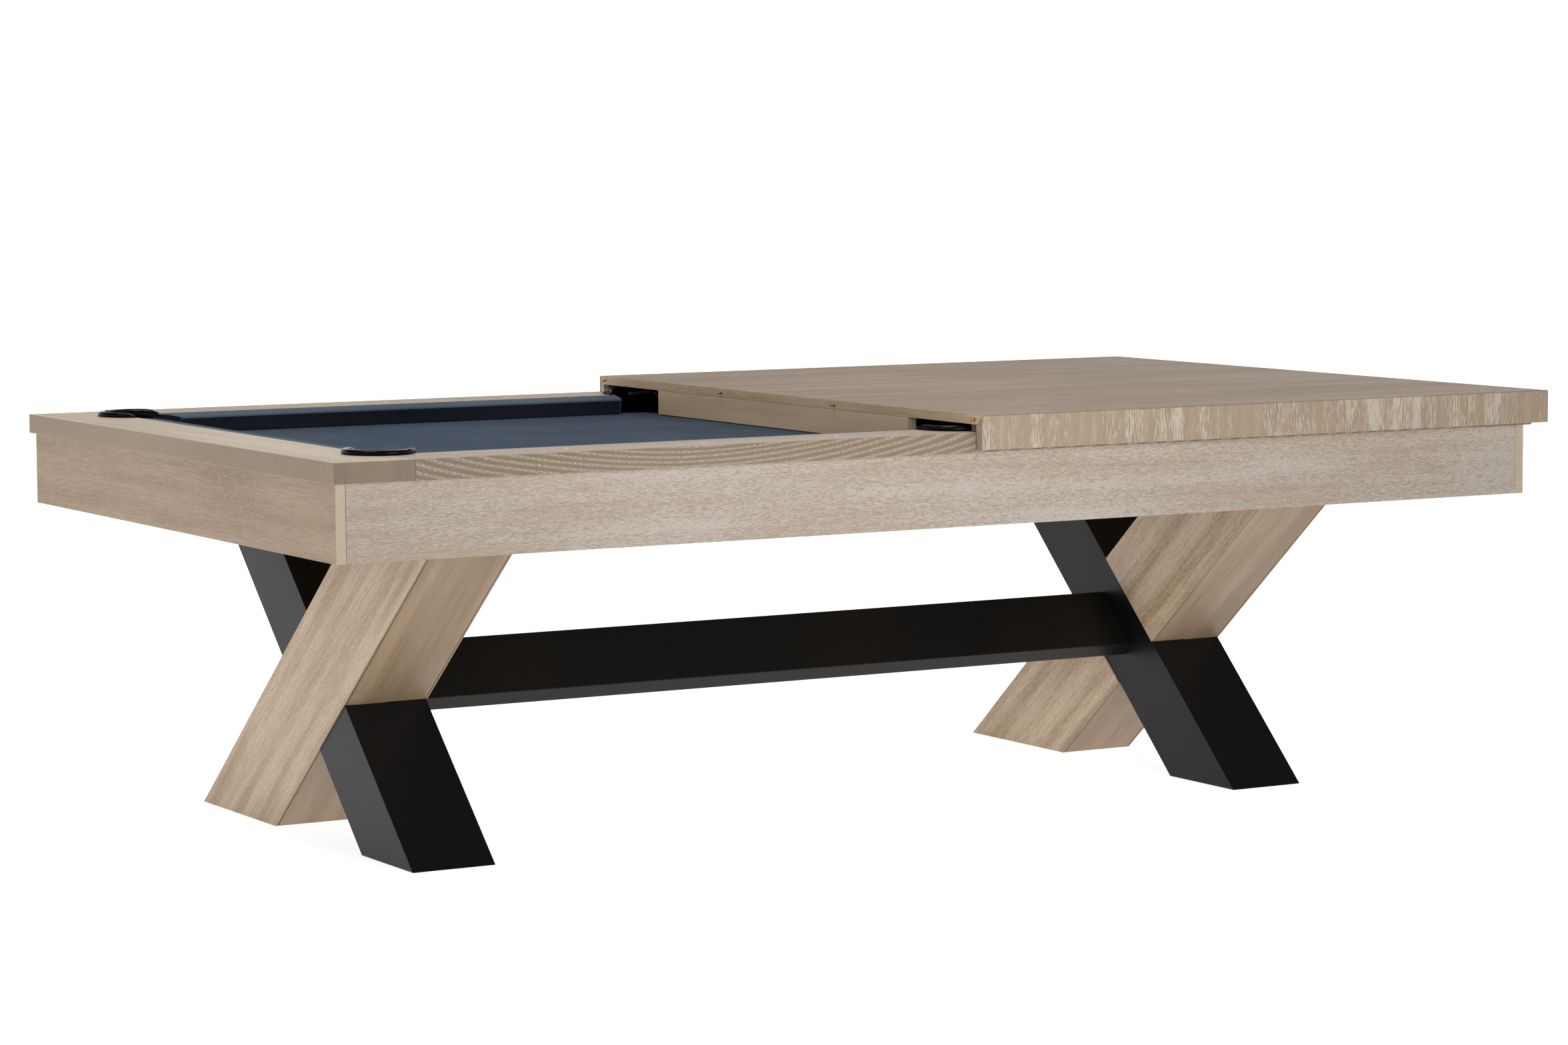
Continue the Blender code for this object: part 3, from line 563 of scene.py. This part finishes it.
def make_cushion(name, corner, out, along, ends):
    """Sweep the profile between two cut facings, with the cloth folded over each."""
    width = WOOD_Y - NOSE_Y
    profile = cushion_profile(width, RAIL_TOP, RAIL_BOTTOM)
    (wood_a, nose_a), (wood_b, nose_b) = ends
    bm = bmesh.new()
    rings = []
    steps = 26
    for i in range(steps + 1):
        t = i / steps
        t = t * t * (3 - 2 * t) * 0.5 + t * 0.5      # closer together at the facings
        swell = math.sin(math.pi * t) ** 0.3
        ring = []
        for reach, height in profile:
            share = reach / width
            a = wood_a + (nose_a - wood_a) * share
            b = wood_b + (nose_b - wood_b) * share
            spot = corner + out * reach + along * (a + (b - a) * t)
            crown = 0.0004 * swell * math.sin(math.pi * min(share, 1))
            ring.append(bm.verts.new((spot.x, spot.y, height + crown)))
        rings.append(ring)
    loft(bm, rings)
    bmesh.ops.recalc_face_normals(bm, faces=bm.faces[:])
    # the facings below the nose, turned to the bed, get the darker cloth copy: painted shade
    for face in bm.faces:
        if face.normal.z < 0.35 and face.normal.dot(out) > 0.3:
            face.material_index = 1
    piece = add_piece(f"{name}_covered", bm, "table", [name],
                      [RAIL_CLOTH, CUSHION_FACE_SHADE], bevel=0.0011, segments=3, angle=48)
    bm = bmesh.new()
    for wood, nose in ends:
        path = []
        for reach, height in profile[2:-2]:
            share = reach / width
            spot = corner + out * (reach + 0.0002) + along * (wood + (nose - wood) * share)
            path.append(Vector((spot.x, spot.y, height + 0.0001)))
        loft(bm, tube(bm, path, radius=0.0006, sides=6))
    add_piece(f"{name}_fold", bm, "table", [], CLOTH_EDGE, angle=60)


def make_cushions():
    for side, sy in SIDES:
        for end, sx in ENDS:
            node = f"cushion_{side}_{end}"
            points = [v.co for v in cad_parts[node].data.vertices]
            wood = [abs(p.x - MID) for p in points if abs(p.y) > WOOD_Y - 0.002]
            nose = [abs(p.x - MID) for p in points if abs(p.y) < NOSE_Y + 0.002]
            make_cushion(node, Vector((MID, sy * (WOOD_Y + CLEAR), 0)), Vector((0, -sy, 0)),
                         Vector((sx, 0, 0)), ((min(wood), min(nose)), (max(wood), max(nose))))
    for end, sx in ENDS:
        node = f"cushion_end_{end}"
        points = [v.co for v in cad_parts[node].data.vertices]
        wood = max(p.y for p in points if abs(p.x - MID) > WOOD_X - 0.002)
        nose = max(p.y for p in points if abs(p.x - MID) < NOSE_X + 0.002)
        make_cushion(node, Vector((MID + sx * (WOOD_X + CLEAR), 0, 0)), Vector((-sx, 0, 0)),
                     Vector((0, 1, 0)), ((-wood, -nose), (wood, nose)))


# ------------------------------------------------------------------ pockets
# sections as (radius, height above the rail top): the collar from its outer lip over the
# rolled rim and down the throat, then the bucket's inside and outside
COLLAR_RIM = [(0.0612, 0.0004), (0.0625, 0.0018), (0.0628, 0.0046), (0.0620, 0.0070),
              (0.0600, 0.0087), (0.0564, 0.0094), (0.0528, 0.0088), (0.0500, 0.0070),
              (0.0482, 0.0042), (0.0475, 0.0008)]
COLLAR_THROAT = [(0.0472, -0.006), (0.0476, -0.016), (0.0486, -0.028), (0.0490, -0.042)]
CUP_INSIDE = [(0.0492, RAIL_TOP - CUP_TOP), (0.0494, RAIL_TOP - 0.075),
              (0.0482, RAIL_TOP - 0.12), (0.0455, BUCKET_BOTTOM + 0.017),
              (0.040, BUCKET_BOTTOM + 0.008), (0.028, BUCKET_BOTTOM + 0.0042),
              (0.012, BUCKET_BOTTOM + 0.0032)]
CUP_OUTSIDE = [(0.0516, RAIL_TOP - CUP_TOP), (0.0518, RAIL_TOP - 0.075),
               (0.0506, RAIL_TOP - 0.12), (0.048, BUCKET_BOTTOM + 0.015),
               (0.042, BUCKET_BOTTOM + 0.0045), (0.029, BUCKET_BOTTOM + 0.0006),
               (0.012, BUCKET_BOTTOM + 0.0001)]


def collar_stations(mouth, arm):
    """(angle, reach along the arm, share of the arm) from one arm's tip to the other's."""
    steps, turns = 6, 40
    first = [(mouth + math.pi / 2, arm * (1 - i / steps), 1 - i / steps)
             for i in range(steps + 1)]
    bend = [(mouth + math.pi / 2 + math.pi * i / turns, 0.0, 0.0) for i in range(1, turns)]
    last = [(mouth + math.pi * 1.5, arm * i / steps, i / steps) for i in range(steps + 1)]
    return first + bend + last


def collar_ring(bm, centre, ahead, station, spread):
    """The collar's section at one station, slimmer, lower and wider along an arm."""
    angle, forward, t = station
    out = Vector((math.cos(angle), math.sin(angle), 0))
    flare = spread * t ** 2
    slim = 1 - 0.7 * t ** 2.2
    low = 1 - 0.6 * t ** 3
    section = [(THROAT + (radius - THROAT) * slim + flare, height * low)
               for radius, height in COLLAR_RIM]
    section += [(radius + flare * 0.5, height) for radius, height in COLLAR_THROAT]
    ring = []
    for radius, height in section:
        spot = centre + out * radius + ahead * forward
        ring.append(bm.verts.new((spot.x, spot.y, RAIL_TOP + height)))
    return ring


def close_arm(bm, ring, ahead):
    """A rounded nose on an arm's rim."""
    rim = ring[:len(COLLAR_RIM)]
    core = sum((v.co for v in rim), Vector()) / len(rim)
    tip = [bm.verts.new(core + (v.co - core) * 0.55 + ahead * 0.0035) for v in rim]
    for k in range(len(rim) - 1):
        bm.faces.new((rim[k], rim[k + 1], tip[k + 1], tip[k]))
    bm.faces.new(tip)


def make_pocket(name, cx, cy, mouth, arm, spread):
    """Collar with a rolled rim and flared arms, a wall behind the mouth and a bucket."""
    ahead = Vector((math.cos(mouth), math.sin(mouth), 0))
    centre = Vector((cx, cy, 0))
    bm = bmesh.new()
    rings = [collar_ring(bm, centre, ahead, station, spread)
             for station in collar_stations(mouth, arm)]
    loft(bm, rings, closed_section=False, cap=False)
    close_arm(bm, rings[0], ahead)
    close_arm(bm, rings[-1], ahead)
    loft(bm, [circle(bm, Vector((cx, cy, height)), radius, 64)
              for radius, height in CUP_INSIDE[::-1] + CUP_OUTSIDE])
    piece = add_piece(f"pocket_{name}_moulding", bm, "table",
                      [f"pocket_{name}"], MOULDING, angle=55)
    wall = piece.modifiers.new("wall", "SOLIDIFY")
    wall.thickness = COLLAR_WALL
    wall.offset = 0


def make_pockets():
    """Each mouth opens towards the bed, diagonally at the corners."""
    for end, sx in ENDS:
        for side, sy in SIDES:
            make_pocket(f"{side}_{end}", MID + sx * POCKET_X, sy * POCKET_Y,
                        math.atan2(-sy, -sx), CORNER_ARM, CORNER_SPREAD)
    for side, sy in SIDES:
        make_pocket(f"{side}_middle", MID, sy * SIDE_POCKET_Y, -sy * math.pi / 2,
                    SIDE_ARM, SIDE_SPREAD)


# ------------------------------------------------------------------ sights
SIGHT_SECTION = [(0.0056, -0.0006), (0.0056, 0.0001), (0.0052, 0.00035), (0.003, 0.0005),
                 (0.0008, 0.00055)]


def make_sights():
    """Round pearl sights: three on each half of a side rail, one on each end rail."""
    eighth = 2 * NOSE_X / 8
    spots = [(MID + k * eighth, sy * (WOOD_Y + SIGHT_INSET_SIDE))
             for k in (-3, -2, -1, 1, 2, 3) for sy in (-1, 1)]
    spots += [(MID + sx * (WOOD_X + SIGHT_INSET_END), 0.0) for _, sx in ENDS]
    for i, (x, y) in enumerate(spots):
        bm = bmesh.new()
        loft(bm, [circle(bm, Vector((x, y, RAIL_TOP + height)), radius, 28)
                  for radius, height in SIGHT_SECTION])
        add_piece(f"sight_{i + 1:02d}", bm, "table", [], PEARL, angle=50)


# ------------------------------------------------------------------ dining panels
def make_panels():
    for letter, body in (("a", "inner_panel"), ("b", "end_panel")):
        node = f"panel_{letter}_board"
        bm = from_cad(node)
        paint(bm, X, 1)
        add_piece(f"{node}_wood", bm, body, [node], [DINING_TOP, DINING_EDGE],
                  bevel=0.0007, segments=2)
        for side in ("near", "far", "end"):
            node = f"panel_{letter}_skirt_{side}"
            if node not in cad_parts:
                continue
            add_piece(f"{node}_wood", from_cad(node), body, [node],
                      SKIRT_END if side == "end" else SKIRT, bevel=0.0007, segments=2)
        for side in ("left", "right"):
            node = f"panel_{letter}_batten_{side}"
            add_piece(f"{node}_wood", from_cad(node), body, [node], BATTEN,
                      bevel=0.0012)
        for side in ("near", "far"):
            node = f"panel_{letter}_pad_{side}"
            add_piece(f"{node}_strip", from_cad(node), body, [node], PAD,
                      bevel=0.001)
        for i in range(1, 5):
            make_pin(f"panel_{letter}_pin_{i}", body)


def make_pin(node, body):
    """Turned brass pin: shank, a shoulder against the board, a neck and a ball."""
    low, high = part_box(node)
    y, z = (low.y + high.y) / 2, (low.z + high.z) / 2
    ball = (high.z - low.z) / 2
    neck = low.x + 2 * ball
    profile = [(high.x, 0.0004), (high.x, 0.0019), (high.x - 0.0006, 0.0021),
               (neck + 0.0016, 0.0021), (neck + 0.0015, 0.0028),
               (neck + 0.0007, 0.0028), (neck + 0.0004, 0.0017)]
    for degrees in range(35, 171, 15):
        a = math.radians(degrees)
        profile.append((low.x + ball + ball * math.cos(a), ball * math.sin(a)))
    bm = bmesh.new()
    loft(bm, [circle(bm, Vector((x, y, z)), radius, 20, Y, Z) for x, radius in profile])
    add_piece(f"{node}_turned", bm, body, [node], BRASS, angle=45)


# ------------------------------------------------------------------ hidden structure
def dress_frame():
    """Finish the CAD nodes that are shown as they are, the slates and the under-frame."""
    for node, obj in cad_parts.items():
        if obj.hide_render:
            continue
        material = SLATE if node.startswith("slate") else TIMBER
        for slot in obj.material_slots:
            slot.material = material
        weld = obj.modifiers.new("weld", "WELD")
        weld.merge_threshold = MERGE
        flat = obj.modifiers.new("flat", "DECIMATE")
        flat.decimate_type = "DISSOLVE"
        flat.angle_limit = FLAT
        round_edges(obj, width=0.0015, segments=2, angle=30.0)


# ------------------------------------------------------------------ stage, light, camera
def make_stage():
    bm = bmesh.new()
    reach = 60.0
    bm.faces.new([bm.verts.new((sx * reach, sy * reach, 0))
                  for sx, sy in ((-1, -1), (1, -1), (1, 1), (-1, 1))])
    mesh = bpy.data.meshes.new("floor")
    bm.to_mesh(mesh)
    bm.free()
    floor = bpy.data.objects.new("floor", mesh)
    bpy.context.scene.collection.objects.link(floor)
    n = Nodes("floor_paint")
    cloud = n.noise(n.place(), scale=0.6, detail=2.0)
    mesh.materials.append(n.finish(Base_Color=n.mix(cloud, (0.58, 0.58, 0.58, 1),
                                                    (0.62, 0.62, 0.62, 1)), Roughness=0.9,
                                   Emission_Color=(1, 1, 1, 1), Emission_Strength=0.86,
                                   Specular_IOR_Level=0.0))


def aim(name, data, place, target):
    light = bpy.data.objects.new(name, data)
    light.location = place
    light.rotation_euler = (Vector(target) - Vector(place)).to_track_quat("-Z", "Y").to_euler()
    bpy.context.scene.collection.objects.link(light)


def add_panel_light(name, place, target, size, watts):
    data = bpy.data.lights.new(name, "AREA")
    data.shape = "RECTANGLE"
    data.size, data.size_y = size
    data.energy = watts
    aim(name, data, place, target)


def add_sun(name, azimuth, elevation, strength, spread):
    """A distant soft source; azimuth 0 shines from the near side, 90 from the right."""
    data = bpy.data.lights.new(name, "SUN")
    data.energy = strength
    data.angle = math.radians(spread)
    a, e = math.radians(azimuth), math.radians(elevation)
    place = (10 * math.sin(a) * math.cos(e), -10 * math.cos(a) * math.cos(e), 10 * math.sin(e))
    aim(name, data, place, (0, 0, 0))


def make_lights():
    world = bpy.data.worlds.new("studio")
    bpy.context.scene.world = world
    world.use_nodes = True
    tree = world.node_tree
    background = tree.nodes["Background"]
    # bright round the horizon, dim overhead: the white background without a flat glare
    coord = tree.nodes.new("ShaderNodeTexCoord")
    split = tree.nodes.new("ShaderNodeSeparateXYZ")
    ramp = tree.nodes.new("ShaderNodeMapRange")
    ramp.interpolation_type = "SMOOTHSTEP"
    tree.links.new(coord.outputs["Generated"], split.inputs[0])
    tree.links.new(split.outputs[2], ramp.inputs["Value"])
    ramp.inputs["From Min"].default_value = 0.20
    ramp.inputs["From Max"].default_value = 0.52
    ramp.inputs["To Min"].default_value = 1.03
    ramp.inputs["To Max"].default_value = 0.04
    tree.links.new(ramp.outputs[0], background.inputs["Strength"])
    background.inputs["Color"].default_value = (1, 1, 1, 1)
    add_sun("overhead", -100, 76, 1.3, 24)
    add_sun("right_back", 140, 40, 0.6, 20)
    add_panel_light("front", (-0.35, -2.4, 1.05), (-0.05, -0.73, 0.7), (1.2, 0.8), 19)
    add_panel_light("top_left", (-1.0, 0.1, 2.2), (-1.0, 0.1, 0.8), (1.0, 1.0), 5)


def make_camera():
    """Where the photograph was taken from, found by fitting the table's own corners."""
    place = Vector((MID - 4.16644, -7.14098, 1.31781))
    yaw, pitch, roll = -0.52834, -0.09342, -0.00427
    ahead = Vector((-math.sin(yaw) * math.cos(pitch), math.cos(yaw) * math.cos(pitch),
                    math.sin(pitch)))
    right = Vector((math.cos(yaw), math.sin(yaw), 0))
    up = right.cross(ahead)
    right, up = (right * math.cos(roll) + up * math.sin(roll),
                 up * math.cos(roll) - right * math.sin(roll))
    data = bpy.data.cameras.new("camera")
    data.sensor_width = 36.0
    data.sensor_fit = "HORIZONTAL"
    data.lens = 98.22
    camera = bpy.data.objects.new("camera", data)
    rotation = Matrix((right, up, -ahead)).transposed()
    camera.matrix_world = Matrix.Translation(place) @ rotation.to_4x4()
    bpy.context.scene.collection.objects.link(camera)
    bpy.context.scene.camera = camera


make_woodwork()
make_bed_cloth()
make_cushions()
make_pockets()
make_sights()
make_panels()
dress_frame()
make_stage()
make_lights()
make_camera()
bpy.context.scene.view_settings.view_transform = "Standard"
